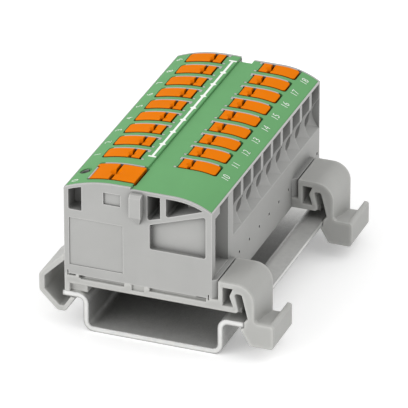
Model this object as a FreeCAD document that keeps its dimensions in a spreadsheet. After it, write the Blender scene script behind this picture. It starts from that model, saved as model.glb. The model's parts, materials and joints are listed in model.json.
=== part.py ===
import FreeCAD, Part
import math
import os
import re

import Sketcher
from FreeCAD import Placement, Rotation, Vector

# Driving sizes in millimetres. Z starts at the underside of the rail's web, X at the rail's centre line.
SIZES = {
    # Rail
    "rail_width": 35.0,
    "rail_hat_width": 27.0,
    "rail_height": 7.5,
    "rail_sheet": 1.0,
    "rail_bend": 1.0,
    # Block
    "pitch": 5.2,
    "positions": 9,
    "supply_length": 10.3,
    "block_left": 17.1,
    "block_right": 11.4,
    "seat_height": 1.7,
    "plate_thickness": 2.0,
    "floor_wall": 1.2,
    "spring_room": 11.0,
    "bar_thickness": 1.0,
    "stop_gap": 0.1,
    "button_travel": 1.6,
    "foot_height": 1.3,
    "cover_height": 3.05,
    "crown_step": 0.35,
    "step_offset": 4.2,
    "crown_drop_left": 2.15,
    "crown_drop_right": 2.15,
    "crown_start_left": 7.0,
    "crown_start_right": 4.0,
    # Walls of the housing
    "partition": 1.25,
    "skirt_wall": 1.2,
    "front_wall": 1.75,
    "back_wall": 1.5,
    "rim": 0.4,
    "side_rim": 0.2,
    "cover_skin": 0.3,
    "step_groove": 0.15,
    "cover_gap": 0.05,
    "cover_wall": 1.4,
    "slab_margin": 2.2,
    "slab_end": 1.8,
    "guide_rib": 0.38,
    "guide_reach": 0.9,
    # Small connections
    "entry_radius": 1.9,
    "funnel_radius": 3.93,
    "funnel_drop": 2.95,
    "funnel_depth": 1.8,
    "entry_wall": 1.2,
    "entry_clearance": 0.2,
    "slot_bar": 0.3,
    "slot_rib": 1.1,
    "back_rim": 0.3,
    "tick_size": 0.6,
    "tick_depth": 0.6,
    "tick_rise": 4.5,
    "tick_offset": 1.3,
    # Supply connection
    "supply_entry_radius": 2.6,
    "supply_funnel_radius": 3.9,
    "supply_funnel_depth": 1.4,
    "supply_entry_wall": 2.7,
    "supply_front_wall": 1.5,
    "supply_chamber_width": 6.9,
    "side_recess_depth": 4.5,
    "side_recess_rise": 5.9,
    # Buttons
    "button_length": 7.0,
    "button_play": 0.225,
    "button_corner": 0.6,
    "button_proud": 0.12,
    "button_setback_left": 0.2,
    "button_setback_right": 0.7,
    "foot_overhang": 0.225,
    "foot_play": 0.12,
    "window_gap": 0.3,
    "window_side_gap": 0.12,
    "notch_place": 1.9,
    "notch_depth": 0.7,
    "notch_half": 0.38,
    "dimple_radius": 0.95,
    "dimple_depth": 0.8,
    "prong_thickness": 1.3,
    "prong_width": 0.55,
    "prong_gap": 0.12,
    "prong_inset": 0.45,
    "supply_button_length": 8.7,
    "supply_button_play": 0.35,
    "supply_button_corner": 0.45,
    "supply_step": 0.45,
    "supply_step_length": 1.05,
    "supply_notch_place": 4.8,
    "supply_dimple_radius": 1.25,
    # Busbar and springs
    "spine_offset": 1.75,
    "spine_width": 3.1,
    "spine_gap": 0.2,
    "finger_width": 2.0,
    "finger_reach": 3.6,
    "supply_finger_width": 4.0,
    "supply_finger_reach": 5.3,
    "spring_sheet": 0.4,
    "spring_width": 3.4,
    "spring_reach": 7.0,
    "spring_bend": 1.7,
    "spring_tip_bend": 0.9,
    "spring_shoulder": 4.2,
    "spring_gap": 0.03,
    "supply_spring_width": 5.6,
    "supply_spring_reach": 7.4,
    "supply_spring_shoulder": 5.6,
    # Details of the block's front and back
    "tongue_width": 2.2,
    "tongue_depth": 1.5,
    "tongue_length": 4.35,
    "tongue_tip": 2.0,
    "tongue_end_half": 0.35,
    "tongue_bevel": 0.5,
    "tongue_top": 0.45,
    "groove_gap": 0.15,
    "groove_wall": 0.8,
    "front_band": 0.65,
    "pocket_depth": 3.2,
    "cavity_depth": 6.5,
    "pocket_corner": 0.4,
    "left_pocket_inset": 0.9,
    "left_pocket_width": 2.55,
    "left_pocket_drop": 3.0,
    "slot_inset": 1.92,
    "slot_width": 2.45,
    "slot_drop": 2.55,
    "slot_rise": 0.75,
    "fan_inset": 3.55,
    "fan_margin": 1.8,
    "fan_drop": 1.4,
    "panel_depth": 1.1,
    "panel_inset": 0.4,
    "panel_margin": 1.2,
    "panel_drop": 4.3,
    "panel_rise": 4.1,
    "panel_low_rise": 0.6,
    "small_recess_inset": 7.7,
    "small_recess_width": 3.2,
    "small_recess_drop": 0.85,
    "small_recess_height": 2.35,
    "small_recess_depth": 0.3,
    "label_depth": 0.15,
    "label_inset": 1.0,
    "label_width": 10.35,
    "label_margin": 0.7,
    "test_hole_place": 2.05,
    "test_hole_shift": 0.9,
    "test_hole_radius": 1.15,
    "test_hole_depth": 2.4,
    # Rail adapters
    "adapter_length": 9.8,
    "rear_adapter_place": 42.1,
    "adapter_gap": 0.05,
    "upstand_wall": 0.8,
    "upstand_setback": 0.6,
    "arm_height": 6.0,
    "arm_reach": 5.0,
    "arm_band": 1.05,
    "arm_drop": 4.3,
    "arm_wall": 1.0,
    "catch_hold": 2.4,
    "catch_gap": 0.2,
    "pad_reach": 4.6,
    "pad_setback": 0.7,
    "right_pad_setback": 3.5,
    "foot_gap": 1.2,
    "foot_slit": 0.28,
    "ledge_slant": 0.6,
    "foot_wall": 0.85,
    "foot_rise": 5.8,
    "foot_band": 1.05,
    "foot_drop": 4.55,
    "latch_hold": 0.6,
    "latch_gap": 0.1,
    "latch_body": 2.0,
    "latch_reach": 5.7,
    "lip_thickness": 0.9,
    "lip_top": 0.15,
    "lever_floor": 2.4,
    "lever_web": 0.9,
    "spring_base": 0.9,
    "spring_set": 1.85,
    "spring_head": 0.4,
    "latch_ramp": 0.8,
    "latch_root": 1.25,
    "window_base": 2.0,
    "window_waist": 2.75,
    "window_head": 2.1,
    "window_waist_drop": 2.6,
    "arm_turn": 1.1,
    "arm_under": 0.5,
    "arm_shoulder": 0.2,
    "catch_width": 0.9,
    "right_pad_margin": 1.6,
    "round_fine": 0.45,
    "round_small": 0.6,
    "round_soft": 0.8,
    "round_wide": 1.2,
    "foot_round": 3.4,
    "strip_depth": 0.7,
    "strip_height": 0.8,
    "strip_left_inset": 3.2,
    "strip_left_width": 8.4,
    "strip_right_inset": 0.3,
    "strip_right_margin": 1.1,
    "strip_middle_half": 1.2,
    "strip_middle_height": 1.2,
    "hook_depth": 2.1,
    "hook_inset": 0.9,
    "hook_width": 1.3,
    "hook_height": 0.35,
    "hook_gap": 0.6,
    "hook_inner_width": 1.0,
    "hook_inner_height": 0.6,
    "hook_right_width": 2.1,
    "slit_inset": 0.55,
    "slit_width": 0.22,
    "slit_rise": 0.7,
    "slit_drop": 0.4,
    "seat_line_height": 0.2,
    "seat_line_margin": 0.3,
}

# Formulas on the driving sizes, each under the name of what it gives.
DERIVED = {
    "middle": "(block_right - block_left) / 2",
    "block_length": "supply_length + positions * pitch",
    "front": "-block_length / 2",
    "back": "block_length / 2",
    "block_bottom": "rail_height + seat_height",
    "plate_top": "block_bottom + plate_thickness",
    "floor_top": "plate_top + floor_wall",
    "contact": "floor_top + spring_room",
    "ledge": "contact + bar_thickness + stop_gap + button_travel + foot_height",
    "plateau": "ledge + cover_height",
    "upper_plateau": "plateau + crown_step",
    "shoulder_left": "upper_plateau - crown_drop_left",
    "shoulder_right": "plateau - crown_drop_right",
    "crown_width_left": "block_left - crown_start_left",
    "crown_width_right": "block_right - crown_start_right",
    "crown_radius_left": "(crown_width_left ^ 2 + crown_drop_left ^ 2) / (2 * crown_drop_left)",
    "crown_radius_right": "(crown_width_right ^ 2 + crown_drop_right ^ 2) / (2 * crown_drop_right)",
    "entry_height": "contact + entry_clearance - entry_radius",
    "supply_entry_height": "contact + entry_clearance - supply_entry_radius",
    "chamber_half": "(pitch - partition) / 2",
    "button_half": "chamber_half - button_play",
    "chamber_near": "funnel_depth + entry_wall",
    "foot_end": "foot_overhang * 2",
    "supply_near": "supply_funnel_depth + supply_entry_wall",
    "supply_middle": "front + supply_front_wall + supply_chamber_width / 2",
    "supply_half": "supply_chamber_width / 2",
    "supply_button_half": "supply_half - supply_button_play",
    "slot_half": "(pitch - slot_rib) / 2",
    "trough_left": "spine_left - spine_gap",
    "trough_right": "spine_right + spine_gap",
    "trough_end": "back - tongue_depth - groove_gap - groove_wall",
    "spine_left": "middle - spine_offset",
    "spine_right": "spine_left + spine_width",
    "slot_left": "middle + slot_inset",
    "idle_right": "block_right - side_recess_depth - skirt_wall",
    "recess_start": "front + pocket_depth + rim * 2",
    "supply_inner": "trough_left - rim",
    "tongue_half": "tongue_width / 2",
    "tongue_high": "plateau - tongue_top",
    "tongue_low": "tongue_high - tongue_length",
    "rail_edge": "rail_width / 2",
    "rear_adapter": "front + rear_adapter_place",
    "arm_top": "block_bottom + arm_height",
    "arm_outside": "-block_left - arm_reach",
    "arm_inside": "arm_outside + arm_band",
    "arm_low": "rail_height - arm_drop",
    "flange_under": "rail_height - rail_sheet",
    "foot_left": "block_right + foot_gap",
    "foot_top": "block_bottom + foot_rise",
    "foot_low": "rail_height - foot_drop",
    "foot_body": "rail_edge + latch_body",
    "lip_outside": "rail_edge + latch_reach",
    "lip_inside": "lip_outside - lip_thickness",
    "shelf": "rail_height + lip_top",
}

FUNCTIONS = ("sqrt", "abs")
OVER = "plateau + 10"

doc = FreeCAD.newDocument("DistributionBlock")
sheet = doc.addObject("Spreadsheet::Sheet", "Sizes")
for row, (alias, size) in enumerate(SIZES.items(), start=1):
    sheet.set(f"A{row}", alias)
    sheet.set(f"B{row}", str(size))
    sheet.setAlias(f"B{row}", alias)
doc.recompute()


def bound(formula):
    """Spell a formula out as an expression on the sheet's cells."""

    def spell(match):
        word = match.group(0)
        if word in FUNCTIONS:
            return word
        if word in DERIVED:
            return "(" + bound(DERIVED[word]) + ")"
        return "Sizes." + word

    return re.sub(r"[a-z][a-z_]*", spell, str(formula))


def value(formula):
    """Work a formula out with the sheet's present sizes."""
    return float(sheet.evalExpression(bound(formula)))


def bind(item, **formulas):
    """Bind properties of an object, with __ in a name standing for a dot."""
    for name, formula in formulas.items():
        item.setExpression(name.replace("__", "."), bound(formula))
    return item


def box(name, x, y, z):
    """A block between two formulas along each axis."""
    item = doc.addObject("Part::Box", name)
    return bind(
        item,
        Length=f"({x[1]}) - ({x[0]})",
        Width=f"({y[1]}) - ({y[0]})",
        Height=f"({z[1]}) - ({z[0]})",
        Placement__Base__x=x[0],
        Placement__Base__y=y[0],
        Placement__Base__z=z[0],
    )


def rod(name, x, y, z, radius):
    """A cylinder along X."""
    item = doc.addObject("Part::Cylinder", name)
    item.Placement = Placement(Vector(), Rotation(Vector(0, 1, 0), 90))
    place = dict(Placement__Base__x=x[0], Placement__Base__y=y, Placement__Base__z=z)
    return bind(item, Radius=radius, Height=f"({x[1]}) - ({x[0]})", **place)


def upright(name, axis, z, radius):
    """A cylinder along Z."""
    item = doc.addObject("Part::Cylinder", name)
    place = dict(Placement__Base__x=axis[0], Placement__Base__y=axis[1], Placement__Base__z=z[0])
    return bind(item, Radius=radius, Height=f"({z[1]}) - ({z[0]})", **place)


def funnel(name, x, y, z, radii):
    """A cone along X, with its radius at each end."""
    item = doc.addObject("Part::Cone", name)
    item.Placement = Placement(Vector(), Rotation(Vector(0, 1, 0), 90))
    place = dict(Placement__Base__x=x[0], Placement__Base__y=y, Placement__Base__z=z)
    return bind(item, Radius1=radii[0], Radius2=radii[1], Height=f"({x[1]}) - ({x[0]})", **place)


def fuse(name, parts):
    """One solid out of several."""
    item = doc.addObject("Part::MultiFuse", name)
    item.Shapes = parts
    item.Refine = True
    return item


def cut(name, base, tool):
    """A base with a tool taken away."""
    item = doc.addObject("Part::Cut", name)
    item.Base = base
    item.Tool = tool
    item.Refine = True
    return item


def common(name, first, second):
    """What two solids share."""
    item = doc.addObject("Part::MultiCommon", name)
    item.Shapes = [first, second]
    item.Refine = True
    return item


def copy(name, master, x="0", y="0", z="0", turn=0):
    """A placed copy of a solid."""
    item = doc.addObject("Part::Compound", name)
    item.Links = [master]
    item.Placement = Placement(Vector(), Rotation(Vector(0, 0, 1), turn))
    return bind(item, Placement__Base__x=x, Placement__Base__y=y, Placement__Base__z=z)


# A sketch's plane: which way its own axes point in the model.
PLANES = {
    "front": Rotation(Vector(1, 0, 0), 90),
    "side": Rotation(Vector(1, 1, 1), 120),
    "top": Rotation(),
}


def rounded(before, corner, after, radius):
    """Where a rounding of a corner starts and ends, its centre and whether it turns left."""
    back = (before - corner).normalize()
    ahead = (after - corner).normalize()
    half = back.getAngle(ahead) / 2
    reach = radius / math.tan(half)
    centre = corner + (back + ahead).normalize() * (radius / math.sin(half))
    turns_left = (back.x * ahead.y - back.y * ahead.x) < 0
    return corner + back * reach, corner + ahead * reach, centre, turns_left


def arc_between(start, end, centre, leftwards):
    """An arc and the numbers of its own two ends that lie at start and end."""
    radius = (start - centre).Length
    circle = Part.Circle(centre, Vector(0, 0, 1), radius)
    first, last = (start, end) if leftwards else (end, start)
    angles = [math.atan2(point.y - centre.y, point.x - centre.x) for point in (first, last)]
    if angles[1] <= angles[0]:
        angles[1] += 2 * math.pi
    ends = (1, 2) if leftwards else (2, 1)
    return Part.ArcOfCircle(circle, angles[0], angles[1]), ends


def bulge_centre(start, end, radius):
    """The centre of an arc of a signed radius from start to end, positive where it turns left."""
    chord = end - start
    across = Vector(-chord.y, chord.x, 0).normalize()
    rise = math.sqrt(max(radius ** 2 - (chord.Length / 2) ** 2, 0.0))
    return (start + end) * 0.5 + across * math.copysign(rise, radius)


def outline(name, corners, plane="front", closed=True):
    """A sketch through corners, each a pair of formulas and perhaps its rounding as a third.

    A corner with a fourth formula is reached by an arc of that radius, positive where it turns left.
    """
    sketch = doc.addObject("Sketcher::SketchObject", name)
    sketch.Placement = Placement(Vector(), PLANES[plane])
    points = [Vector(value(corner[0]), value(corner[1]), 0) for corner in corners]
    count = len(points)
    rounds = [corner[2] if len(corner) > 2 else None for corner in corners]
    bulges = [corner[3] if len(corner) > 3 else None for corner in corners]
    leaves = list(points)
    arrives = list(points)
    shapes = []
    rules = []
    names = {}
    turns = {}

    def rule(kind, *numbers, formula=None, label=None):
        if formula is not None:
            numbers += (value(formula),)
            names[len(rules)] = (label, formula)
        rules.append(Sketcher.Constraint(kind, *numbers))

    for index, radius in enumerate(rounds):
        if radius is None:
            continue
        found = rounded(points[index - 1], points[index], points[(index + 1) % count], value(radius))
        arrives[index], leaves[index], centre, leftwards = found
        turns[index] = (centre, leftwards)
    edges = count if closed else count - 1
    ends = []
    for index in range(edges):
        after = (index + 1) % count
        if bulges[after] is None:
            shapes.append(Part.LineSegment(leaves[index], arrives[after]))
            ends.append((1, 2))
        else:
            radius = value(bulges[after])
            centre = bulge_centre(leaves[index], arrives[after], radius)
            arc, arc_ends = arc_between(leaves[index], arrives[after], centre, radius > 0)
            shapes.append(arc)
            ends.append(arc_ends)
            rule("Radius", index, formula=f"abs({bulges[after]})", label=f"bow{index}")
    for index, corner in enumerate(corners):
        before = index - 1 if (index or closed) else None
        if before == -1:
            before = edges - 1
        inner = index < edges
        if index in turns:
            centre, leftwards = turns[index]
            arc, arc_ends = arc_between(arrives[index], leaves[index], centre, leftwards)
            shapes.append(arc)
            number = len(shapes) - 1
            shapes.append(Part.Point(points[index]))
            anchor = (number + 1, 1)
            rule("Tangent", before, ends[before][1], number, arc_ends[0])
            rule("Tangent", number, arc_ends[1], index, ends[index][0])
            rule("PointOnObject", *anchor, before)
            rule("PointOnObject", *anchor, index)
            rule("Radius", number, formula=rounds[index], label=f"round{index}")
        else:
            anchor = (index, ends[index][0]) if inner else (before, ends[before][1])
            if inner and before is not None:
                rule("Coincident", before, ends[before][1], index, ends[index][0])
        rule("DistanceX", -1, 1, *anchor, formula=corner[0], label=f"across{index}")
        rule("DistanceY", -1, 1, *anchor, formula=corner[1], label=f"up{index}")
    sketch.addGeometry(shapes, False)
    for number, shape in enumerate(shapes):
        if isinstance(shape, Part.Point):
            sketch.toggleConstruction(number)
    sketch.addConstraint(rules)
    for number, (label, formula) in names.items():
        sketch.renameConstraint(number, label)
        sketch.setExpression("Constraints." + label, bound(formula))
    return sketch


def prism(name, corners, span, plane="front"):
    """A closed outline drawn out along the axis that its plane faces."""
    sketch = outline(name + "_outline", corners, plane)
    axis = {"front": "y", "side": "x", "top": "z"}[plane]
    sketch.setExpression("Placement.Base." + axis, bound(span[0]))
    item = doc.addObject("Part::Extrusion", name)
    item.Base = sketch
    item.DirMode = "Custom"
    item.Dir = {"y": Vector(0, 1, 0), "x": Vector(1, 0, 0), "z": Vector(0, 0, 1)}[axis]
    item.Solid = True
    return bind(item, LengthFwd=f"({span[1]}) - ({span[0]})")


def strip(name, path, thickness, span):
    """A bent strip: a rectangle swept along an open outline that starts along X."""
    spine = outline(name + "_path", path, closed=False)
    start = path[0]
    low = f"({start[1]}) - ({thickness}) / 2"
    high = f"({start[1]}) + ({thickness}) / 2"
    corners = [(span[0], low), (span[1], low), (span[1], high), (span[0], high)]
    section = outline(name + "_section", corners, "side")
    section.setExpression("Placement.Base.x", bound(start[0]))
    doc.recompute()
    item = doc.addObject("Part::Sweep", name)
    item.Sections = [section]
    item.Spine = (spine, [f"Edge{number + 1}" for number in range(len(spine.Shape.Edges))])
    item.Solid = True
    return item


def inward(side, near, far):
    """The X span between two distances inward from a side of the block."""
    if side == "right":
        return f"block_right - ({far})", f"block_right - ({near})"
    return f"-block_left + ({near})", f"-block_left + ({far})"


def position(number):
    """The Y of a small connection's middle, counted from the front."""
    return f"front + supply_length + ({number} + 0.5) * pitch"


def crown(shift):
    """The top line of the block from right to left, moved up by a formula."""
    return [
        ("block_right", f"shoulder_right + ({shift})"),
        ("crown_start_right", f"plateau + ({shift})", None, "crown_radius_right"),
        ("-step_offset", f"plateau + ({shift})"),
        ("-step_offset", f"upper_plateau + ({shift})"),
        ("-crown_start_left", f"upper_plateau + ({shift})"),
        ("-block_left", f"shoulder_left + ({shift})", None, "crown_radius_left"),
    ]


def under_crown(name, bottom, shift, span):
    """The block's outline from a level up to its top line."""
    corners = [("-block_left", bottom), ("block_right", bottom)] + crown(shift)
    return prism(name, corners, span)


def above_crown(name, shift, span):
    """What lies above the top line, moved down by a formula."""
    corners = crown(f"-({shift})") + [("-block_left", OVER), ("block_right", OVER)]
    return prism(name, corners, span)


WHOLE = ("front", "back")
ACROSS = ("-block_left - 1", "block_right + 1")
COUNT = int(value("positions"))
SETBACK = {"left": "button_setback_left", "right": "button_setback_right"}


def along(name, master):
    """A master repeated at every small connection."""
    return [copy(f"{name}_{number}", master, y=position(number)) for number in range(COUNT)]


def button_span(side, grow="0"):
    """The X span of a small button, grown at both ends by a formula."""
    near = f"chamber_near + {SETBACK[side]}"
    return inward(side, f"{near} - ({grow})", f"{near} + button_length + ({grow})")


def chamber_span(side):
    """The X span of a small connection's chamber."""
    return inward(side, "chamber_near", f"chamber_near + {SETBACK[side]} + button_length + foot_end")


def connection_cut(side):
    """All that a small connection takes out of the housing, at Y = 0."""
    name = f"connection_{side}"
    deep = chamber_span(side)
    sides = ("-chamber_half", "chamber_half")
    finger = ("-finger_width / 2 - prong_gap", "finger_width / 2 + prong_gap")
    face = inward(side, "0", "funnel_depth")
    hole = inward(side, "funnel_depth / 2", "chamber_near + rim")
    slot = ("entry_height", f"shoulder_{side} - slot_bar")
    tick = ("tick_offset - tick_size / 2", "tick_offset + tick_size / 2")
    tick_level = ("block_bottom + tick_rise - tick_size / 2", "block_bottom + tick_rise + tick_size / 2")
    if side == "right":
        notch = ("spine_right - spine_gap", deep[0])
        radii = ("entry_radius", "funnel_radius")
        inner, outer = face
    else:
        notch = (deep[1], "spine_left + spine_gap")
        radii = ("funnel_radius", "entry_radius")
        outer, inner = face
    sill = [
        (outer, "entry_height - funnel_drop"),
        (inner, "entry_height - entry_radius"),
        (inner, "entry_height + pitch"),
        (outer, "entry_height + pitch"),
    ]
    cone = funnel(name + "_funnel", face, "0", "entry_height", radii)
    mouth = common(name + "_mouth", cone, prism(name + "_sill", sill, ("-pitch", "pitch")))
    parts = [
        box(name + "_chamber", deep, sides, ("floor_top", OVER)),
        box(name + "_notch", notch, finger, ("contact", OVER)),
        box(name + "_slot", face, ("-slot_half", "slot_half"), slot),
        rod(name + "_hole", hole, "0", "entry_height", "entry_radius"),
        mouth,
        box(name + "_tick", inward(side, "0", "tick_depth"), tick, tick_level),
    ]
    return fuse(name, parts)


def connection_cuts(side):
    """What the small connections of a side take out, kept within the row at its two ends."""
    cuts = along(f"cut_{side}", connection_cut(side))
    row = (f"{position(0)} - slot_half", "back - back_rim")
    room = box(f"cut_{side}_room", ACROSS, row, ("block_bottom", OVER))
    ends = [common(f"cut_{side}_{end}", cuts[place], room) for end, place in (("first", 0), ("last", -1))]
    return cuts[1:-1] + ends


def guide_tab_span(side, grow="0"):
    """The X span of the small guide tabs beside a small button's inner end."""
    near = f"chamber_near + {SETBACK[side]} + button_length"
    return inward(side, near, f"{near} + guide_reach + {grow}")


def button_window(side):
    """The opening in the cover for a small button and the guide rib behind it, at Y = 0."""
    name = f"window_{side}"
    tab = guide_tab_span(side, "cover_gap")
    deep = ("ledge - 1", OVER)
    rib_back = "chamber_half + guide_rib + cover_gap"
    near_side = "-button_half - window_side_gap"
    parts = [
        plan_prism(name + "_opening", side, button_span(side, "window_gap"), (near_side, rib_back), deep),
        box(name + "_back_tab", tab, ("button_half - guide_rib", rib_back), deep),
        box(name + "_front_tab", tab, (near_side, "-button_half + guide_rib"), deep),
    ]
    return fuse(name, parts)


def plan_prism(name, side, x, y, z, corner="button_corner"):
    """A block that is rounded in plan at its outer end."""
    ends = (corner, None) if side == "left" else (None, corner)
    corners = [(x[0], y[0], ends[0]), (x[1], y[0], ends[1]), (x[1], y[1], ends[1]), (x[0], y[1], ends[0])]
    return prism(name, corners, z, "top")


def guide(side):
    """The housing's rib and tabs that show in a small button's window, at Y = 0."""
    name = f"guide_{side}"
    tab = guide_tab_span(side)
    reach = button_span(side)
    if side == "left":
        rib_x = (f"{reach[0]} + button_corner", tab[1])
        inner = (f"{tab[0]} + foot_end", tab[1])
    else:
        rib_x = (tab[0], f"{reach[1]} - button_corner")
        inner = (tab[0], f"{tab[1]} - foot_end")
    high = ("floor_top", OVER)
    back_tab = ("button_half - guide_rib + cover_gap", "chamber_half")
    front_tab = ("-button_half - window_side_gap / 2", "-button_half + guide_rib - cover_gap")
    parts = [
        box(name + "_rib", rib_x, ("chamber_half", "chamber_half + guide_rib"), high),
        box(name + "_back_tab", inner, back_tab, high),
        box(name + "_front_tab", inner, front_tab, high),
    ]
    return fuse(name, parts)


SUPPLY_START = "supply_near + button_setback_left"
SUPPLY_BUTTON = inward("left", SUPPLY_START, f"{SUPPLY_START} + supply_button_length")
SUPPLY_OUTER = f"{SUPPLY_BUTTON[0]} - supply_step"
SUPPLY_STEP_END = "supply_button_half - supply_step_length"


def supply_window():
    """The opening in the cover for the supply button and the rib behind it."""
    x = (f"{SUPPLY_OUTER} - window_side_gap", f"{SUPPLY_BUTTON[1]} + window_gap")
    rib_back = "supply_middle + supply_half + guide_rib + cover_gap"
    y = ("supply_middle - supply_button_half - window_side_gap", rib_back)
    return plan_prism("supply_window", "left", x, y, ("ledge - 1", OVER), "supply_button_corner")


def supply_guides():
    """The housing's ribs that show behind the supply button and along its outer end."""
    high = ("contact", OVER)
    behind_x = (f"{SUPPLY_BUTTON[0]} + supply_button_corner", SUPPLY_BUTTON[1])
    behind_y = ("supply_middle + supply_half", "supply_middle + supply_half + guide_rib")
    beside_x = (f"{SUPPLY_OUTER} - window_side_gap + cover_gap", "-block_left + supply_near")
    beside_start = "supply_middle - supply_button_half + supply_button_corner"
    beside_y = (beside_start, f"supply_middle + {SUPPLY_STEP_END} - window_side_gap")
    return [
        box("supply_guide_behind", behind_x, behind_y, high),
        box("supply_guide_beside", beside_x, beside_y, high),
    ]


def supply_cut():
    """All that the supply connection takes out of the housing."""
    y = ("supply_middle - supply_half", "supply_middle + supply_half")
    near = inward("left", "supply_near", "supply_near")[0]
    far = f"{SUPPLY_BUTTON[1]} + foot_end"
    corner_y = (f"supply_middle + {SUPPLY_STEP_END} - window_side_gap", y[1])
    face = inward("left", "0", "supply_funnel_depth")
    hole = inward("left", "supply_funnel_depth / 2", "supply_near + rim")
    radii = ("supply_funnel_radius", "supply_entry_radius")
    parts = [
        box("supply_chamber", (near, "supply_inner"), y, ("floor_top", OVER)),
        box("supply_chamber_top", (near, far), y, ("contact", OVER)),
        box("supply_corner", (f"{SUPPLY_OUTER} - window_side_gap", near), corner_y, ("contact", OVER)),
        rod("supply_hole", hole, "supply_middle", "supply_entry_height", "supply_entry_radius"),
        funnel("supply_funnel", face, "supply_middle", "supply_entry_height", radii),
    ]
    return fuse("supply_cut", parts)


def cover_room(name, gap):
    """The space of the cover above the housing: a thin crowned skin and a slab between the walls."""
    skin = above_crown(name + "_skin", f"cover_skin - ({gap})", WHOLE)
    inside = box(
        name + "_inside",
        (f"-block_left + side_rim + {gap}", f"block_right - side_rim - ({gap})"),
        (f"front + rim + {gap}", f"back - rim - ({gap})"),
        ("ledge", OVER),
    )
    slab = box(
        name + "_slab",
        (f"-block_left + slab_margin + {gap}", f"block_right - slab_margin - ({gap})"),
        (f"front + slab_end + {gap}", f"back - slab_end - ({gap})"),
        ("ledge", OVER),
    )
    beyond_trough = (f"trough_right - ({gap})", "block_right")
    over_cavities = ("front", f"front + cavity_depth + skirt_wall + {gap}")
    beside_pocket = ("-block_left", f"-block_left + left_pocket_inset + left_pocket_width + rim + {gap}")
    over_pocket = ("front", f"front + pocket_depth + rim + {gap}")
    notches = [
        box(name + "_cavities", beyond_trough, over_cavities, ("ledge", OVER)),
        box(name + "_pocket", beside_pocket, over_pocket, ("ledge", OVER)),
    ]
    ends = cut(name + "_slab_end", slab, fuse(name + "_notches", notches))
    return fuse(name, [common(name + "_top", skin, inside), ends])


def tongue_corners(gap, top):
    """The outline of the key on the front face, grown by a gap, with its tapered lower end."""
    half = f"tongue_half + {gap}"
    end = f"tongue_end_half + {gap}"
    tip = f"tongue_low - tongue_tip - {gap}"
    return [
        (f"middle - ({half})", top),
        (f"middle - ({half})", f"({tip}) + tongue_tip"),
        (f"middle - ({end})", tip),
        (f"middle + {end}", tip),
        (f"middle + {half}", f"({tip}) + tongue_tip"),
        (f"middle + {half}", top),
    ]


def tongue():
    """The key on the front face, bevelled at its top and running back to the face at its lower end."""
    face = "front - tongue_depth"
    side = [
        ("front + rim", "tongue_high"),
        (f"{face} + tongue_bevel", "tongue_high"),
        (face, "tongue_high - tongue_bevel"),
        (face, "tongue_low"),
        ("front", "tongue_low - tongue_tip"),
        ("front + rim", "tongue_low - tongue_tip"),
    ]
    across = ("middle - tongue_half", "middle + tongue_half")
    front = prism("tongue_front", tongue_corners("0", "tongue_high"), (face, "front + rim"))
    return common("tongue", front, prism("tongue_side", side, across, "side"))


def pocket_corners(left, right, low_left, low_right, top=OVER):
    """A pocket's outline: its two sides, its floor's height at each and a rounding at the first corner."""
    return [(left, low_left, "pocket_corner"), (right, low_right), (right, top), (left, top)]


def front_pockets():
    """The hollows and shallow recesses that show on the front face."""
    pocket_left = "-block_left + left_pocket_inset"
    pocket_low = "ledge - left_pocket_drop"
    left_pocket = pocket_corners(pocket_left, f"{pocket_left} + left_pocket_width", pocket_low, pocket_low)
    slot_low = ("ledge - slot_drop", "ledge - slot_drop + slot_rise")
    slot = pocket_corners("slot_left", "slot_left + slot_width", *slot_low)
    fan_left = "slot_left + fan_inset"
    fan_low = ("ledge - fan_drop", "shoulder_right + stop_gap * 2")
    fan = pocket_corners(fan_left, "block_right - fan_margin", *fan_low)
    panel_left = "slot_left + panel_inset"
    panel_right = "block_right - panel_margin"
    panel = [
        (panel_left, "contact - panel_drop", "pocket_corner"),
        (panel_right, "contact - panel_drop", "pocket_corner"),
        (panel_right, "contact + panel_rise", "pocket_corner"),
        (panel_left, "contact + panel_low_rise", "pocket_corner"),
    ]
    recess_left = "-block_left + small_recess_inset"
    recess_low = "ledge - small_recess_drop"
    small_x = (recess_left, f"{recess_left} + small_recess_width")
    small_z = (recess_low, f"{recess_low} + small_recess_height")
    label_left = "-block_left + label_inset"
    label_x = (label_left, f"{label_left} + label_width")
    label_z = ("floor_top + label_margin", "contact - label_margin")
    deep = ("front - 1", "front + pocket_depth")
    deeper = ("front - 1", "front + cavity_depth")
    fan_room = box("front_fan_room", (fan_left, "idle_right"), deeper, ("contact", OVER))
    hollows = [
        prism("front_left_pocket", left_pocket, deep),
        prism("front_slot", slot, deeper),
        prism("front_fan", fan, deep),
        common("front_fan_cavity", prism("front_fan_whole", fan, deeper), fan_room),
    ]
    limit = under_crown("front_limit", "block_bottom", "-front_band", deeper)
    return [
        common("front_crowned_hollows", fuse("front_hollows", hollows), limit),
        prism("front_panel", panel, ("front - 1", "front + panel_depth")),
        box("front_small_recess", small_x, ("front - 1", "front + small_recess_depth"), small_z),
        box("front_label", label_x, ("front - 1", "front + label_depth"), label_z),
    ]


def back_groove(name):
    """The groove that takes the next block's key, open at the top."""
    return prism(name, tongue_corners("groove_gap", OVER), ("back - tongue_depth - groove_gap", "back + 1"))


TEST_HOLE = ("-block_left + test_hole_place", "supply_middle + test_hole_shift")


def adapter_seats():
    """The room for the two rail adapters under the housing and in its left side."""
    edge = ("-block_left - 1", "-block_left + upstand_wall")
    low = ("block_bottom - 1", "plate_top")
    high = ("block_bottom", "arm_top + adapter_gap")
    seats = []
    for place, start, ahead in (("front", "front", "1"), ("rear", "rear_adapter", "adapter_gap")):
        end = f"{start} + adapter_length + adapter_gap"
        behind = f"{start} + upstand_setback - adapter_gap"
        seats.append(box(f"{place}_seat", ACROSS, (f"{start} - {ahead}", end), low))
        seats.append(box(f"{place}_rebate", edge, (behind, end), high))
    return seats


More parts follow.
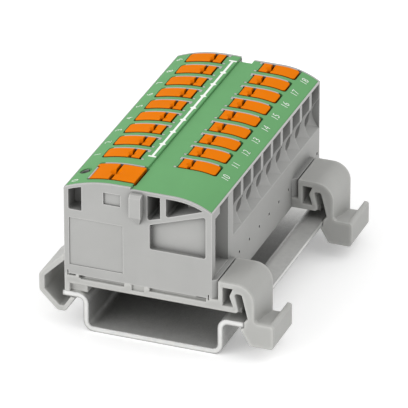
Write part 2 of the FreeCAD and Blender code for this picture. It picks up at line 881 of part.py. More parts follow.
def end_slits(name, y, z):
    """The narrow slits at both ends of the joint between the housing's front face and its adapter."""
    near = "slit_inset"
    far = "(slit_inset + slit_width)"
    return [
        box(name + "_slit_left", (f"-block_left + {near}", f"-block_left + {far}"), y, z),
        box(name + "_slit_right", (f"block_right - {far}", f"block_right - {near}"), y, z),
    ]


def side_ledges():
    """The ledges that close the gap beside the two feet, each with a slanting front end."""
    outside = "foot_left - foot_slit"
    ledges = []
    for place, start in (("front", "front"), ("rear", "rear_adapter")):
        corners = [
            ("block_right - rim", start),
            ("block_right", start),
            (outside, f"{start} + ledge_slant"),
            (outside, f"{start} + adapter_length"),
            ("block_right - rim", f"{start} + adapter_length"),
        ]
        ledges.append(prism(f"{place}_ledge", corners, ("plate_top", "foot_top"), "top"))
    return ledges


def underside():
    """The shallow hollows under the housing between and behind the adapters."""
    x = ("-block_left + skirt_wall", "block_right - skirt_wall")
    z = ("block_bottom - 1", "plate_top")
    wall = "adapter_gap + skirt_wall"
    between = (f"front + adapter_length + {wall}", f"rear_adapter - ({wall})")
    behind = (f"rear_adapter + adapter_length + {wall}", "back - skirt_wall")
    return [box("underside_middle", x, between, z), box("underside_back", x, behind, z)]


def housing():
    """The grey moulding, cut from the block's whole outline."""
    solids = [under_crown("block", "block_bottom", "0", WHOLE), tongue()] + side_ledges()
    guides = along("guide_left", guide("left")) + along("guide_right", guide("right")) + supply_guides()
    spine_lane = ("trough_left", "trough_right")
    beside_supply = ("front + front_wall", "supply_middle + supply_half")
    recess_x = ("block_right - side_recess_depth", "block_right + 1")
    recess_low = "block_bottom + side_recess_rise"
    recess_z = (recess_low, "shoulder_right - slot_bar")
    recess_front_z = (recess_low, "ledge - rim * 2")
    idle_x = ("trough_right + skirt_wall", "idle_right")
    core_y = ("front + front_wall", "back - back_wall")
    hole_z = ("ledge - test_hole_depth", OVER)
    cuts = [
        cut("cover_pocket", cover_room("cover_pocket_room", "0"), fuse("guides", guides)),
        box("trough", spine_lane, ("front + front_wall", "trough_end"), ("contact", OVER)),
        box("core", spine_lane, core_y, ("block_bottom - 1", "contact - back_wall")),
        box("side_recess", recess_x, ("recess_start", beside_supply[1]), recess_z),
        box("side_recess_front", recess_x, beside_supply, recess_front_z),
        box("idle_core", idle_x, beside_supply, ("block_bottom - 1", "contact - back_wall")),
        upright("housing_test_hole", TEST_HOLE, hole_z, "test_hole_radius - rim / 2"),
        back_groove("housing_groove"),
        supply_cut(),
    ]
    cuts += connection_cuts("left") + connection_cuts("right")
    cuts += adapter_seats() + underside() + front_pockets()
    slit_y = ("front - 1", "front + hook_depth")
    cuts += end_slits("housing", slit_y, ("block_bottom", "plate_top + slit_rise"))
    return cut("housing_moulding", fuse("housing_body", solids), fuse("housing_cuts", cuts))


def top_cover():
    """The green cover, the space above the housing under the crown, less its openings."""
    crowned = under_crown("cover_crown", "ledge", "0", WHOLE)
    shell = common("cover_shell", cover_room("cover_room", "cover_gap"), crowned)
    lane_end = ("front + front_wall + supply_chamber_width", "back - tongue_depth - back_wall")
    lane_top = ("ledge - 1", "plateau - cover_wall")
    groove_x = ("-step_offset", "-step_offset + step_groove")
    openings = along("window_left", button_window("left")) + along("window_right", button_window("right"))
    openings += [
        supply_window(),
        back_groove("cover_groove"),
        upright("cover_test_hole", TEST_HOLE, ("ledge - 1", OVER), "test_hole_radius"),
        box("cover_lightening", ("trough_left", "trough_right"), lane_end, lane_top),
        box("cover_step_groove", groove_x, WHOLE, ("plateau - step_groove", OVER)),
    ]
    return cut("cover_moulding", shell, fuse("cover_cuts", openings))


def busbar():
    """The copper comb: a spine with a finger to each connection."""
    level = ("contact", "contact + bar_thickness")
    finger_y = ("-finger_width / 2", "finger_width / 2")
    supply_y = ("supply_middle - supply_finger_width / 2", "supply_middle + supply_finger_width / 2")
    supply_x = ("supply_inner - supply_finger_reach", "spine_left + spine_gap")
    left_x = (f"{chamber_span('left')[1]} - finger_reach", "spine_left + spine_gap")
    right_x = ("spine_right - spine_gap", f"{chamber_span('right')[0]} + finger_reach")
    bars = [
        box("spine", ("spine_left", "spine_right"), (supply_y[0], "trough_end - spine_gap"), level),
        box("supply_finger", supply_x, supply_y, level),
    ]
    bars += along("finger_left", box("finger_left", left_x, finger_y, level))
    bars += along("finger_right", box("finger_right", right_x, finger_y, level))
    return fuse("copper_comb", bars)


def leg_spring(name, width, reach, shoulder):
    """A leg spring with its bend outward: its base on the floor, its tip under the busbar's finger."""
    base = "floor_top + spring_sheet / 2"
    tip = "contact - spring_gap - spring_sheet / 2"
    outer = f"{reach} - spring_sheet / 2"
    path = [
        ("foot_end", base),
        (outer, base, "spring_bend"),
        (outer, f"contact - {shoulder}", "spring_bend"),
        ("prong_thickness + foot_end * 2", tip, "spring_tip_bend"),
        ("foot_end", tip),
    ]
    return strip(name, path, "spring_sheet", (f"-{width} / 2", f"{width} / 2"))


def dimple(name, x, level, radius):
    """A hollow cone at Y = 0 that is as wide as its radius at a level."""
    item = doc.addObject("Part::Cone", name)
    place = dict(Placement__Base__x=x, Placement__Base__z=f"{level} - dimple_depth")
    return bind(item, Radius1="0", Radius2=f"{radius} * 2", Height="dimple_depth * 2", **place)


def button(name, side, x, half, parts):
    """A push button with its crowned top, its foot under the cover and the two prongs on its spring."""
    low = "ledge - foot_height"
    plan = plan_prism(name + "_plan", side, x, (f"-{half}", half), (low, OVER), parts["corner"])
    beyond = (f"-{half} - 1", f"{half} + 1")
    head = common(name + "_head", plan, under_crown(name + "_crown", low, "button_proud", beyond))
    foot_y = (f"-({parts['foot_half']})", parts["foot_half"])
    prong_z = ("contact + spring_gap", "ledge - foot_height / 2")
    inner = f"{parts['finger']} / 2 + prong_gap"
    front_prong = (f"-({inner}) - prong_width", f"-({inner})")
    back_prong = (inner, f"{inner} + prong_width")
    solids = [
        head,
        box(name + "_foot", parts["foot"], foot_y, (low, "ledge")),
        box(name + "_front_prong", parts["prong"], front_prong, prong_z),
        box(name + "_back_prong", parts["prong"], back_prong, prong_z),
    ]
    place = parts["notch"]
    level = parts["level"]
    groove = [
        (f"{place} - notch_half * 2", f"{level} + notch_depth"),
        (place, f"{level} - notch_depth"),
        (f"{place} + notch_half * 2", f"{level} + notch_depth"),
    ]
    marks = [
        prism(name + "_notch", groove, beyond),
        dimple(name + "_dimple", place, level, parts["dimple"]),
    ]
    if "step" in parts:
        marks.append(box(name + "_step", *parts["step"], (f"{low} - 1", OVER)))
    return cut(name, fuse(name + "_whole", solids), fuse(name + "_marks", marks))


def small_button(side):
    """The master of a column's buttons, at Y = 0."""
    x = button_span(side)
    deep = chamber_span(side)
    parts = {
        "corner": "button_corner",
        "foot": (f"{deep[0]} + foot_overhang / 2", f"{deep[1]} - foot_overhang / 2"),
        "foot_half": "chamber_half - foot_play",
        "finger": "finger_width",
        "dimple": "dimple_radius",
    }
    if side == "right":
        near = f"{deep[0]} + prong_inset"
        parts["prong"] = (near, f"{near} + prong_thickness")
        parts["notch"] = f"{x[0]} + notch_place"
        parts["level"] = "plateau + button_proud"
    else:
        near = f"{deep[1]} - prong_inset"
        parts["prong"] = (f"{near} - prong_thickness", near)
        parts["notch"] = f"{x[1]} - notch_place"
        parts["level"] = "upper_plateau + button_proud"
    return button(f"small_button_{side}", side, x, "button_half", parts)


def supply_button():
    """The larger button of the supply connection, at Y = 0."""
    near = "supply_inner - prong_inset"
    step_x = (f"{SUPPLY_OUTER} - 1", SUPPLY_BUTTON[0])
    parts = {
        "corner": "supply_button_corner",
        "foot": (f"{SUPPLY_BUTTON[0]} - foot_overhang / 2", f"{SUPPLY_BUTTON[1]} + foot_overhang * 1.5"),
        "foot_half": "supply_half - foot_play",
        "finger": "supply_finger_width",
        "prong": (f"{near} - prong_thickness", near),
        "notch": f"{SUPPLY_BUTTON[1]} - supply_notch_place",
        "dimple": "supply_dimple_radius",
        "step": (step_x, ("-supply_half", SUPPLY_STEP_END)),
        "level": "upper_plateau + button_proud",
    }
    return button("large_button", "left", (SUPPLY_OUTER, SUPPLY_BUTTON[1]), "supply_button_half", parts)


def adapter_foot():
    """The plate on the rail with the springy foot and its latch on the right, and the foot's window."""
    spring_top = "foot_top - foot_band - foot_wall"
    plate = [
        ("-block_left", "plate_top"),
        ("-block_left", "rail_height"),
        ("-block_left + arm_wall", "rail_height"),
        ("-block_left + arm_wall", "block_bottom"),
        ("rail_edge - spring_base", "block_bottom", "round_small"),
        ("rail_edge - spring_set", spring_top, "round_fine"),
        ("rail_edge - spring_head", spring_top, "round_fine"),
        ("rail_edge + latch_ramp", "rail_height + latch_ramp"),
        ("rail_edge + latch_gap", "rail_height + latch_gap"),
        ("rail_edge + latch_gap", "flange_under - latch_gap"),
        ("rail_edge - latch_hold", "flange_under - catch_gap * 2"),
        ("rail_edge + latch_root", "foot_low", "round_fine"),
        ("lip_outside", "foot_low", "round_small"),
        ("lip_outside", "shelf", "lip_thickness * 0.48"),
        ("foot_body", "shelf", "round_soft"),
        ("foot_body", "foot_top", "foot_round"),
        ("foot_left", "foot_top"),
        ("foot_left", "plate_top"),
    ]
    low = "block_bottom + foot_band"
    high = "foot_top - foot_band"
    window = [
        ("foot_left + foot_wall", low),
        ("rail_edge - window_base", low),
        ("rail_edge - window_waist", "foot_top - window_waist_drop", "round_soft"),
        ("rail_edge - window_head", high),
        ("foot_left + foot_wall", high),
    ]
    through = ("-1", "adapter_length + 1")
    return prism("adapter_plate", plate, ("0", "adapter_length")), prism("adapter_window", window, through)


def adapter_arm():
    """The springy loop on the left that holds the catch under the rail's flange."""
    turn = "-rail_edge - arm_turn"
    low_corner = f"arm_low + ({turn}) - arm_outside"
    slope = "arm_band * 0.414"
    catch = "flange_under - catch_gap"
    corners = [
        ("-block_left", "arm_top"),
        ("arm_outside", "arm_top - arm_reach", "round_wide"),
        ("arm_outside", low_corner, "round_wide"),
        (turn, "arm_low", "round_soft"),
        ("-rail_edge + arm_under", "arm_low", "round_soft"),
        ("-rail_edge + catch_hold", catch),
        ("-rail_edge + catch_hold - catch_width", catch),
        ("-rail_edge + arm_shoulder", "arm_low + arm_band", "round_fine"),
        (f"{turn} + {slope}", "arm_low + arm_band", "round_fine"),
        ("arm_inside", f"{low_corner} + {slope}", "round_fine"),
        ("arm_inside", f"arm_top - arm_reach - {slope}", "round_fine"),
        ("-block_left", "arm_top - arm_band * 1.414"),
    ]
    return prism("adapter_arm", corners, ("0", "adapter_length"))


def adapter_front_recesses():
    """The shallow recesses and dark slits along the plate's front edge."""
    recess = ("-1", "strip_depth")
    hook = ("-1", "hook_depth")
    over = "plate_top + 1"
    left = "-block_left + strip_left_inset"
    right = "block_right - strip_right_margin"
    first = "-block_left + hook_inset"
    second = f"{first} + hook_width + hook_gap"
    middle = ("middle - strip_middle_half", "middle + strip_middle_half")
    seat = ("-block_left + arm_wall", "-rail_edge + pad_reach + seat_line_margin")
    strip_z = ("plate_top - strip_height", over)
    middle_z = ("plate_top - strip_middle_height", over)
    inner_z = ("plate_top - hook_inner_height", over)
    return [
        box("strip_left", (left, f"{left} + strip_left_width"), recess, strip_z),
        box("strip_middle", middle, ("-1", "strip_depth / 2"), middle_z),
        box("strip_right", ("slot_left + strip_right_inset", right), recess, strip_z),
        box("hook_left", (first, f"{first} + hook_width"), hook, ("plate_top - hook_height", over)),
        box("hook_inner", (second, f"{second} + hook_inner_width"), hook, inner_z),
        box("hook_right", (f"{right} - hook_right_width", right), hook, inner_z),
        box("seat_line", seat, hook, ("block_bottom - seat_line_height", "block_bottom")),
    ] + end_slits("adapter", hook, ("plate_top - slit_drop", over))


def rail_adapter():
    """One moulding: plate, springy left arm with its catch and springy right foot with its latch."""
    plate, window = adapter_foot()
    upstand_x = ("-block_left", "-block_left + upstand_wall")
    upstand_z = ("plate_top - foot_wall", "arm_top")
    pad_z = ("rail_height", "block_bottom + foot_wall")
    left_pad_x = ("-block_left + arm_wall / 2", "-rail_edge + pad_reach")
    right_pad_x = ("rail_edge - pad_reach", "rail_edge - right_pad_margin")
    solids = [
        plate,
        adapter_arm(),
        box("upstand", upstand_x, ("upstand_setback", "adapter_length"), upstand_z),
        box("left_pad", left_pad_x, ("pad_setback", "adapter_length"), pad_z),
        box("right_pad", right_pad_x, ("right_pad_setback", "adapter_length"), pad_z),
    ]
    lever = [
        ("lever_web", "shelf"),
        ("adapter_length + 1", "shelf - lever_floor"),
        ("adapter_length + 1", "shelf + 1"),
        ("lever_web", "shelf + 1"),
    ]
    holes = [window, prism("lever_pocket", lever, ("foot_body", "lip_inside"), "side")]
    holes += adapter_front_recesses()
    return cut("rail_adapter", fuse("adapter_solid", solids), fuse("adapter_holes", holes))


def din_rail():
    """The bent top-hat section, as long as the block."""
    leg = "(rail_hat_width - rail_sheet) / 2"
    bend = "rail_bend + rail_sheet / 2"
    high = "rail_height - rail_sheet / 2"
    low = "rail_sheet / 2"
    path = [
        ("-rail_edge", high),
        (f"-{leg}", high, bend),
        (f"-{leg}", low, bend),
        (leg, low, bend),
        (leg, high, bend),
        ("rail_edge", high),
    ]
    return strip("rail", path, "rail_sheet", WHOLE)


NODES = []


def node(name, item, **place):
    """A sub-part of the model: a placed solid whose Label names its file."""
    part = copy("node_" + name, item, **place)
    part.Label = name
    NODES.append(part)
    return part


node("housing", housing())
node("top_cover", top_cover())
node("busbar", busbar())
node("din_rail", din_rail())
adapter = rail_adapter()
node("adapter_front", adapter, y="front")
node("adapter_rear", adapter, y="rear_adapter")
small_spring = leg_spring("small_spring", "spring_width", "spring_reach", "spring_shoulder")
large_shape = ("supply_spring_width", "supply_spring_reach", "supply_spring_shoulder")
large_spring = leg_spring("large_spring", *large_shape)
for column, side in enumerate(("left", "right")):
    button_master = small_button(side)
    wall = chamber_span(side)[1 if side == "left" else 0]
    turn = 180 if side == "left" else 0
    for number in range(COUNT):
        label = f"{column * COUNT + number + 1:02d}"
        node(f"button_{label}", button_master, y=position(number))
        node(f"spring_{label}", small_spring, x=wall, y=position(number), turn=turn)
node("button_supply", supply_button(), y="supply_middle")
node("spring_supply", large_spring, x="supply_inner", y="supply_middle", turn=180)

doc.recompute()
for item in doc.Objects:
    if "Invalid" in item.State or "Error" in item.State:
        raise RuntimeError(f"{item.Label} did not recompute: {item.State}")
for part in NODES:
    if part.Shape.isNull() or not part.Shape.isValid():
        raise RuntimeError(f"{part.Label} has no valid shape")
    if len(part.Shape.Solids) != 1:
        raise RuntimeError(f"{part.Label} is {len(part.Shape.Solids)} solids")

os.makedirs("parts", exist_ok=True)
for part in NODES:
    part.Shape.exportStep(f"parts/{part.Label}.step")
print(len(NODES), "nodes written")
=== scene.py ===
import json
import math

import bmesh
import bpy
from mathutils import Matrix, Vector


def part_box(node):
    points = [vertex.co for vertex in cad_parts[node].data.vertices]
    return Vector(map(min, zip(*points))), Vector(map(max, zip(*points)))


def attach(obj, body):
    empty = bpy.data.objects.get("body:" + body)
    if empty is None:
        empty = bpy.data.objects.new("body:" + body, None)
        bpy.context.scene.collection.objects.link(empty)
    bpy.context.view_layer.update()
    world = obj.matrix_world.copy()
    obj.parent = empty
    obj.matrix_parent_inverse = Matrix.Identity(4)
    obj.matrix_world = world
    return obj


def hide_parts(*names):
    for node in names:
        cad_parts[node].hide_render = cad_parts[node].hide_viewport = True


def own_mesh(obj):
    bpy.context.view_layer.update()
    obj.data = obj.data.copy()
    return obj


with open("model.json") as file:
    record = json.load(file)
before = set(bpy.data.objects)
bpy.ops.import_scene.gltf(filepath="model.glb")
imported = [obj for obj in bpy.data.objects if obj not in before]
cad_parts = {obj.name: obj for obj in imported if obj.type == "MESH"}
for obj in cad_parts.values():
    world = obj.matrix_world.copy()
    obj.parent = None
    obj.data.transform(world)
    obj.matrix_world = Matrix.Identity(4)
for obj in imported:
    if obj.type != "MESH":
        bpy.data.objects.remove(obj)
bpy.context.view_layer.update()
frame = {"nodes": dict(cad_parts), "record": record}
MM = 0.001

# Sizes that the solids share, in metres, read from the frame's own nodes and record
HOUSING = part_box("housing")
MOUNTS = {mount["name"]: mount for mount in frame["record"]["mounts"]}
JOINTS = frame["record"]["behaviour"]["joints"]
BLOCK_LEFT = HOUSING[0][0]
BLOCK_BACK = HOUSING[1][1]
BLOCK_FRONT = -BLOCK_BACK
UPPER_PLATEAU = HOUSING[1][2]
FIRST = MOUNTS["entry_01"]["pos_m"][1]
PITCH = MOUNTS["entry_02"]["pos_m"][1] - FIRST
COUNT = 9

# The block's right wall, short of the ledges beside the feet, where the housing's box ends
BLOCK_RIGHT = 11.4 * MM

# The crowned top line of the block
STEP_X = -4.2 * MM
STEP_RISE = 0.35 * MM
CROWN_DROP = 2.15 * MM
CROWN_START_LEFT = -7.0 * MM
CROWN_START_RIGHT = 4.0 * MM


def crown_height(x):
    """The cover's height at a distance from the rail's centre line."""
    level = UPPER_PLATEAU if x < STEP_X else UPPER_PLATEAU - STEP_RISE
    start, side = (CROWN_START_LEFT, BLOCK_LEFT) if x < 0 else (CROWN_START_RIGHT, BLOCK_RIGHT)
    width = abs(side - start)
    radius = (width ** 2 + CROWN_DROP ** 2) / (2 * CROWN_DROP)
    over = max(abs(x) - abs(start), 0.0)
    return level - radius + math.sqrt(radius ** 2 - over ** 2)


def new_object(name, data):
    """An object in the scene that shows a mesh, light or camera."""
    thing = bpy.data.objects.new(name, data)
    bpy.context.scene.collection.objects.link(thing)
    return thing


# Colours

def srgb(red, green, blue):
    """A colour given in picture values from 0 to 255, as linear light."""
    def linear(channel):
        value = channel / 255
        return value / 12.92 if value <= 0.04045 else ((value + 0.055) / 1.055) ** 2.4
    return (linear(red), linear(green), linear(blue), 1.0)


def shade(color, factor):
    """A colour made lighter or darker."""
    return tuple(min(channel * factor, 1.0) for channel in color[:3]) + (1.0,)


GREY = srgb(166, 166, 164)
LIGHT_GREY = srgb(171, 171, 168)
GREEN = srgb(103, 164, 106)
ORANGE = srgb(230, 121, 0)
COPPER = srgb(222, 176, 140)
STEEL = srgb(200, 200, 200)
ZINC = srgb(219, 219, 217)
PRINT_WHITE = srgb(245, 247, 243)
WHITE = (1.0, 1.0, 1.0, 1.0)

# Materials

OCCLUSION_SAMPLES = 8
BEVEL_SAMPLES = 6

# Moulded plastic: its flow marks and grain, where the painted shade in its hollows and gaps begins and ends,
# and where the painted highlight on its edges begins and ends
FLOW_SCALE = 130.0
FLOW_SPAN = (0.3, 0.7)
GRAIN_SHEEN = (0.05, 0.07)
GRAIN_STRENGTH = 0.35
CREVICE_SHADE_SPAN = (0.45, 0.92)
HIGHLIGHT_SPAN = (0.45, 0.95)

# Plated metal: its spangle and drawn lines, the painted shade that darkens it away from the open ends of the
# rail, and the painted shade along its edges
SPANGLE = (0.95, 1.04)
DRAWN_STRETCH = (1.0, 0.04, 1.0)
DRAWN_SCALE = 2600.0
DRAWN_SHEEN = (0.06, 0.08)
DRAWN_STRENGTH = 0.25
DRAWN_RELIEF = 0.004 * MM
UNDER_BLOCK_REACH = 40 * MM
UNDER_BLOCK_SPAN = (0.08, 0.36)
RIM_SHADE_SPAN = (0.5, 0.9)


def node_tools(tree):
    """A tool that adds a node with its inputs set or joined, and one that joins two sockets."""
    def add(kind, inputs=None, **settings):
        node = tree.nodes.new("ShaderNode" + kind)
        for key, setting in settings.items():
            setattr(node, key, setting)
        for key, source in (inputs or {}).items():
            if isinstance(source, bpy.types.NodeSocket):
                tree.links.new(source, node.inputs[key])
            else:
                node.inputs[key].default_value = source
        return node

    def join(source, target):
        tree.links.new(source, target)

    return add, join


def new_material(name):
    """A material with its surface shader and the tools to add to it."""
    material = bpy.data.materials.new(name)
    material.use_nodes = True
    material.node_tree.nodes.clear()
    add, join = node_tools(material.node_tree)
    surface = add("BsdfPrincipled")
    add("OutputMaterial", {"Surface": surface.outputs["BSDF"]})
    return material, surface, add, join


def two_tones(add, source, tones, span=(0.0, 1.0)):
    """A colour that goes from one tone to another as a pattern goes over a span."""
    tint = add("ValToRGB", {"Fac": source})
    for element, tone, position in zip(tint.color_ramp.elements, tones, span):
        element.position = position
        element.color = tone
    return tint.outputs["Color"]


def opening(add, distance, span, low, inside=False):
    """A factor that goes from low to 1 as the space within a distance of a point opens up."""
    occlusion = add("AmbientOcclusion", {"Distance": distance}, samples=OCCLUSION_SAMPLES, inside=inside)
    ramp = add("MapRange", {"Value": occlusion.outputs["AO"], "From Min": span[0], "From Max": span[1],
                            "To Min": low, "To Max": 1.0})
    return ramp.outputs["Result"]


def stained(add, color, first, second):
    """A colour multiplied by two factors that paint light and shade into it."""
    both = add("Math", {0: first, 1: second}, operation="MULTIPLY")
    return add("VectorMath", {0: color, 1: both.outputs[0]}, operation="MULTIPLY").outputs["Vector"]


def varied(add, source, middle, spread):
    """A roughness that a pattern moves below and above its middle value."""
    ramp = add("MapRange", {"Value": source, "To Min": middle - spread[0], "To Max": middle + spread[1]})
    return ramp.outputs["Result"]


def worked(add, height, strength, relief, bevel):
    """The normal of a face with softened edges and a fine relief."""
    edge = add("Bevel", {"Radius": bevel}, samples=BEVEL_SAMPLES)
    bump = add("Bump", {"Height": height, "Strength": strength, "Distance": relief,
                        "Normal": edge.outputs["Normal"]})
    return bump.outputs["Normal"]


def moulded(name, color, roughness, shine=0.4, grain=0.25 * MM, relief=0.012 * MM, blotch=0.03,
            bevel=0.12 * MM, crevice_shade=1.0, reach=0.8 * MM, edge_brightening=0.0):
    """Moulded plastic: a fine grain, a faint flow variation, softened edges, painted shade that darkens its
    hollows and gaps, and a painted highlight that lightens its edges.
    """
    material, surface, add, join = new_material(name)
    spot = add("TexCoord").outputs["Object"]
    flow = add("TexNoise", {"Vector": spot, "Scale": FLOW_SCALE, "Detail": 3.0, "Roughness": 0.55})
    fine = add("TexNoise", {"Vector": spot, "Scale": 1.0 / grain, "Detail": 2.0, "Roughness": 0.6})
    tones = (shade(color, 1 - blotch), shade(color, 1 + blotch))
    tint = two_tones(add, flow.outputs["Fac"], tones, FLOW_SPAN)
    # Painted shade: the colour darkens in hollows, gaps and recesses, where shade falls
    painted_shade = opening(add, reach, CREVICE_SHADE_SPAN, crevice_shade)
    # Painted highlight: the colour lightens along outer edges, where light catches them
    painted_highlight = opening(add, bevel * 2, HIGHLIGHT_SPAN, 1.0 + edge_brightening, inside=True)
    join(stained(add, tint, painted_shade, painted_highlight), surface.inputs["Base Color"])
    join(varied(add, fine.outputs["Fac"], roughness, GRAIN_SHEEN), surface.inputs["Roughness"])
    join(worked(add, fine.outputs["Fac"], GRAIN_STRENGTH, relief, bevel), surface.inputs["Normal"])
    surface.inputs["Specular IOR Level"].default_value = shine
    return material


def plated(name, color, roughness, grain, bevel, metal=1.0, under_block_shade=1.0, rim_shade=1.0):
    """Metal with a fine spangle, drawn lines, softened edges, painted shade far under the block and painted
    shade along its edges.
    """
    material, surface, add, join = new_material(name)
    spot = add("TexCoord").outputs["Object"]
    spangle = add("TexVoronoi", {"Vector": spot, "Scale": 1.0 / grain})
    drawn = add("Mapping", {"Vector": spot, "Scale": DRAWN_STRETCH})
    lines = add("TexNoise", {"Vector": drawn.outputs["Vector"], "Scale": DRAWN_SCALE, "Detail": 3.0,
                             "Roughness": 0.6})
    tint = two_tones(add, spangle.outputs["Distance"], [shade(color, factor) for factor in SPANGLE])
    # Painted shade: the colour darkens where little open space is near, under the block and inside the rail
    painted_shade = opening(add, UNDER_BLOCK_REACH, UNDER_BLOCK_SPAN, under_block_shade)
    # Painted shade: the colour darkens along outer edges
    painted_border_shade = opening(add, bevel, RIM_SHADE_SPAN, rim_shade, inside=True)
    join(stained(add, tint, painted_shade, painted_border_shade), surface.inputs["Base Color"])
    join(varied(add, lines.outputs["Fac"], roughness, DRAWN_SHEEN), surface.inputs["Roughness"])
    surface.inputs["Metallic"].default_value = metal
    join(worked(add, lines.outputs["Fac"], DRAWN_STRENGTH, DRAWN_RELIEF, bevel), surface.inputs["Normal"])
    return material


# The housing and button plastics carry painted shade in hollows and gaps, the housing and adapter a painted
# highlight on their edges, and the zinc plating painted shade under the block and along its edges
LOOKS = {
    "housing_plastic": moulded("grey_housing", GREY, roughness=0.5, crevice_shade=0.5, reach=3.5 * MM, edge_brightening=0.5),
    "adapter_plastic": moulded("grey_adapter", LIGHT_GREY, roughness=0.5, bevel=0.4 * MM, edge_brightening=0.3),
    "cover_plastic": moulded("green_cover", GREEN, roughness=0.55, shine=0.22),
    "button_plastic": moulded("orange_button", ORANGE, roughness=0.5, shine=0.02, bevel=0.06 * MM,
                              crevice_shade=0.08),
    "copper": plated("tinned_copper", COPPER, roughness=0.3, grain=0.8 * MM, bevel=0.05 * MM),
    "spring_steel": plated("spring_steel", STEEL, roughness=0.25, grain=0.8 * MM, bevel=0.05 * MM),
    "zinc_steel": plated("zinc_plated_steel", ZINC, roughness=0.4, grain=1.2 * MM, bevel=0.5 * MM,
                         metal=0.65, under_block_shade=0.35, rim_shade=0.6),
}
for subpart in frame["record"]["subparts"]:
    node = frame["nodes"][subpart["node"]]
    node.data.materials.clear()
    node.data.materials.append(LOOKS[subpart["material_slot"]])

# The leg springs

def leg_spring(label):
    """A spring in its node's place, copied from its node, riding on the block, with the node hidden."""
    name = f"spring_{label}"
    piece = new_object(f"leg_spring_{label}", frame["nodes"][name].data.copy())
    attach(piece, "block")
    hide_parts(name)
    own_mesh(piece)


for joint in JOINTS:
    leg_spring(joint["name"].removeprefix("press_"))

# White printing on the cover

PRINT = moulded("white_print", PRINT_WHITE, roughness=0.6, relief=0.004 * MM, blotch=0.01, bevel=0.02 * MM)
PRINT_THICKNESS = 0.02 * MM
LINE_X = -5.0 * MM
LINE_START = BLOCK_FRONT + 12.9 * MM
LINE_END = BLOCK_FRONT + 54.5 * MM
LINE_WIDTH = 0.45 * MM
END_BAR = 1.5 * MM
NODE_ACROSS = 1.3 * MM
NODE_ALONG = 0.9 * MM
NODE_COUNT = 7
FIRST_NODE = BLOCK_FRONT + 18.1 * MM


def dress(name, data):
    """A printed piece with its material, riding on the block."""
    piece = new_object(name, data)
    data.materials.append(PRINT)
    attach(piece, "block")


def line_side():
    """The right-hand half of the connection line's outline, from its start to its end."""
    half = LINE_WIDTH / 2
    side = [(END_BAR / 2, LINE_START - half), (END_BAR / 2, LINE_START + half), (half, LINE_START + half)]
    for number in range(NODE_COUNT):
        middle = FIRST_NODE + number * PITCH
        side += [(half, middle - NODE_ALONG / 2), (NODE_ACROSS / 2, middle), (half, middle + NODE_ALONG / 2)]
    return side + [(half, LINE_END - half), (END_BAR / 2, LINE_END - half), (END_BAR / 2, LINE_END + half)]


def connection_line():
    """The thin raised line with its nodes and end bars, laid on the crown."""
    side = line_side()
    outline = [(LINE_X + over, y) for over, y in side]
    outline += [(LINE_X - over, y) for over, y in reversed(side)]
    mesh = bmesh.new()
    top = [mesh.verts.new((x, y, crown_height(x) + PRINT_THICKNESS)) for x, y in outline]
    low = [mesh.verts.new((x, y, crown_height(x) - PRINT_THICKNESS)) for x, y in outline]
    mesh.faces.new(top)
    mesh.faces.new(low[::-1])
    for index in range(len(outline)):
        after = (index + 1) % len(outline)
        mesh.faces.new((low[index], low[after], top[after], top[index]))
    bmesh.ops.recalc_face_normals(mesh, faces=mesh.faces)
    data = bpy.data.meshes.new("connection_line")
    mesh.to_mesh(data)
    mesh.free()
    dress("connection_line", data)


connection_line()

MARK_SIZE = 1.9 * MM
MARK_THIN = 0.025 * MM
MARK_STEPS = 3
MARK_WELD = 0.0001 * MM
MARK_TURN = math.radians(90)
MARK_LEFT = -15.55 * MM
MARK_RIGHT = 9.45 * MM
MARK_RIGHT_SHIFT = -0.5 * MM
SUPPLY_MARK_X = -15.6 * MM
SUPPLY_MARK_Y = BLOCK_FRONT + 2.0 * MM


def mark(number, x, y):
    """A plain number printed on the cover, reading from the block's right side."""
    name = f"mark_{number:02d}"
    text = bpy.data.curves.new(name, "FONT")
    text.body = str(number)
    text.size = MARK_SIZE
    text.offset = -MARK_THIN
    text.align_x = "CENTER"
    text.align_y = "CENTER"
    text.resolution_u = MARK_STEPS
    holder = bpy.data.objects.new(name, text)
    data = bpy.data.meshes.new_from_object(holder)
    data.transform(Matrix.Translation((x, y, 0)) @ Matrix.Rotation(MARK_TURN, 4, "Z"))
    bpy.data.objects.remove(holder)
    bpy.data.curves.remove(text)
    mesh = bmesh.new()
    mesh.from_mesh(data)
    bmesh.ops.remove_doubles(mesh, verts=mesh.verts, dist=MARK_WELD)
    drawn = bmesh.ops.extrude_face_region(mesh, geom=mesh.faces[:])
    raised = {item for item in drawn["geom"] if isinstance(item, bmesh.types.BMVert)}
    for vert in mesh.verts:
        lift = PRINT_THICKNESS if vert in raised else -PRINT_THICKNESS
        vert.co.z = crown_height(vert.co.x) + lift
    bmesh.ops.recalc_face_normals(mesh, faces=mesh.faces)
    mesh.to_mesh(data)
    mesh.free()
    data.name = name
    dress(name, data)


mark(0, SUPPLY_MARK_X, SUPPLY_MARK_Y)
for number in range(COUNT):
    mark(number + 1, MARK_LEFT, FIRST + number * PITCH)
    mark(number + 1 + COUNT, MARK_RIGHT, FIRST + number * PITCH + MARK_RIGHT_SHIFT)

# Studio

CENTRE = Vector((0.0, 0.0, 0.018))
FLOOR_HALF = 4.0
FLOOR_COLOR = (0.9, 0.9, 0.9, 1.0)
FLOOR_ROUGHNESS = 0.9
FLOOR_LIFT = 0.26
KEY_PLACE = (-0.75, -0.95, 0.5)
KEY_SIZE = 0.9
KEY_POWER = 8.3
FILL_PLACE = (0.6, 0.1, 0.9)
FILL_SIZE = 0.8
FILL_POWER = 2.2
DOME_STRENGTH = 0.78
BACKDROP_STRENGTH = 1.0

floor_corners = [(-FLOOR_HALF, -FLOOR_HALF, 0), (FLOOR_HALF, -FLOOR_HALF, 0),
                 (FLOOR_HALF, FLOOR_HALF, 0), (-FLOOR_HALF, FLOOR_HALF, 0)]
floor_data = bpy.data.meshes.new("floor")
floor_data.from_pydata(floor_corners, [], [(0, 1, 2, 3)])
floor = new_object("floor", floor_data)

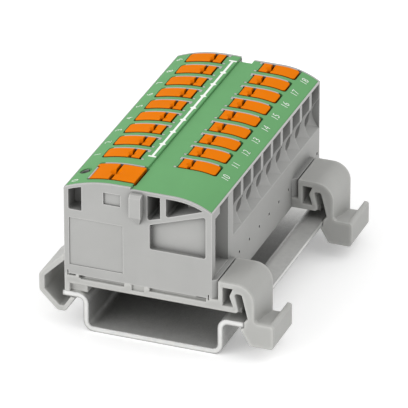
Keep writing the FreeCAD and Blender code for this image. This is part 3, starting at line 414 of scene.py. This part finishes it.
# The paper is lifted to white only where the camera sees it, straight, mirrored or through a clear part
paper, paper_surface, add, join = new_material("white_paper")
paper_surface.inputs["Base Color"].default_value = FLOOR_COLOR
paper_surface.inputs["Roughness"].default_value = FLOOR_ROUGHNESS
path = add("LightPath")
seen = add("Math", {0: path.outputs["Is Camera Ray"], 1: path.outputs["Is Glossy Ray"]}, operation="MAXIMUM")
seen = add("Math", {0: seen.outputs[0], 1: path.outputs["Is Transmission Ray"]}, operation="MAXIMUM")
lift = add("Math", {0: seen.outputs[0], 1: FLOOR_LIFT}, operation="MULTIPLY")
join(lift.outputs[0], paper_surface.inputs["Emission Strength"])
paper_surface.inputs["Emission Color"].default_value = WHITE
floor_data.materials.append(paper)


def softbox(name, position, size, power):
    """A large square light aimed at the middle of the block."""
    data = bpy.data.lights.new(name, "AREA")
    data.shape = "SQUARE"
    data.size = size
    data.energy = power
    lamp = new_object(name, data)
    lamp.location = position
    lamp.rotation_euler = (CENTRE - Vector(position)).to_track_quat("-Z", "Y").to_euler()


softbox("key", KEY_PLACE, KEY_SIZE, KEY_POWER)
softbox("fill", FILL_PLACE, FILL_SIZE, FILL_POWER)

world = bpy.data.worlds.new("studio")
bpy.context.scene.world = world
world.use_nodes = True
world.node_tree.nodes.clear()
add, join = node_tools(world.node_tree)
dome = add("Background", {"Color": WHITE, "Strength": DOME_STRENGTH})
backdrop = add("Background", {"Color": WHITE, "Strength": BACKDROP_STRENGTH})
rays = add("LightPath")
mixed = add("MixShader", {"Fac": rays.outputs["Is Camera Ray"], 1: dome.outputs[0], 2: backdrop.outputs[0]})
add("OutputWorld", {"Surface": mixed.outputs[0]})

# Camera, at the photograph's viewing angle and distance

AZIMUTH = math.radians(20.79)
ELEVATION = math.radians(27.74)
DISTANCE = 983.34 * MM
AIM_RIGHT = 9.26 * MM
AIM_UP = 25.53 * MM
FOCAL_PIXELS = 5431.0
PICTURE_PIXELS = 408
SENSOR = 36.0
CLIP_END = 20.0
RAIL_FRONT = Vector((0.0, BLOCK_FRONT, -0.5 * MM))

right = Vector((math.cos(AZIMUTH), math.sin(AZIMUTH), 0.0))
forward = Vector((-math.sin(AZIMUTH) * math.cos(ELEVATION), math.cos(AZIMUTH) * math.cos(ELEVATION),
                  -math.sin(ELEVATION)))
up = right.cross(forward)
lens = bpy.data.cameras.new("camera")
lens.sensor_width = SENSOR
lens.lens = FOCAL_PIXELS / PICTURE_PIXELS * SENSOR
lens.clip_end = CLIP_END
camera = new_object("camera", lens)
turned = Matrix((right, up, -forward)).transposed().to_4x4()
spot = RAIL_FRONT + right * AIM_RIGHT + up * AIM_UP - forward * DISTANCE
camera.matrix_world = Matrix.Translation(spot) @ turned
bpy.context.scene.camera = camera
bpy.context.scene.view_settings.view_transform = "Standard"
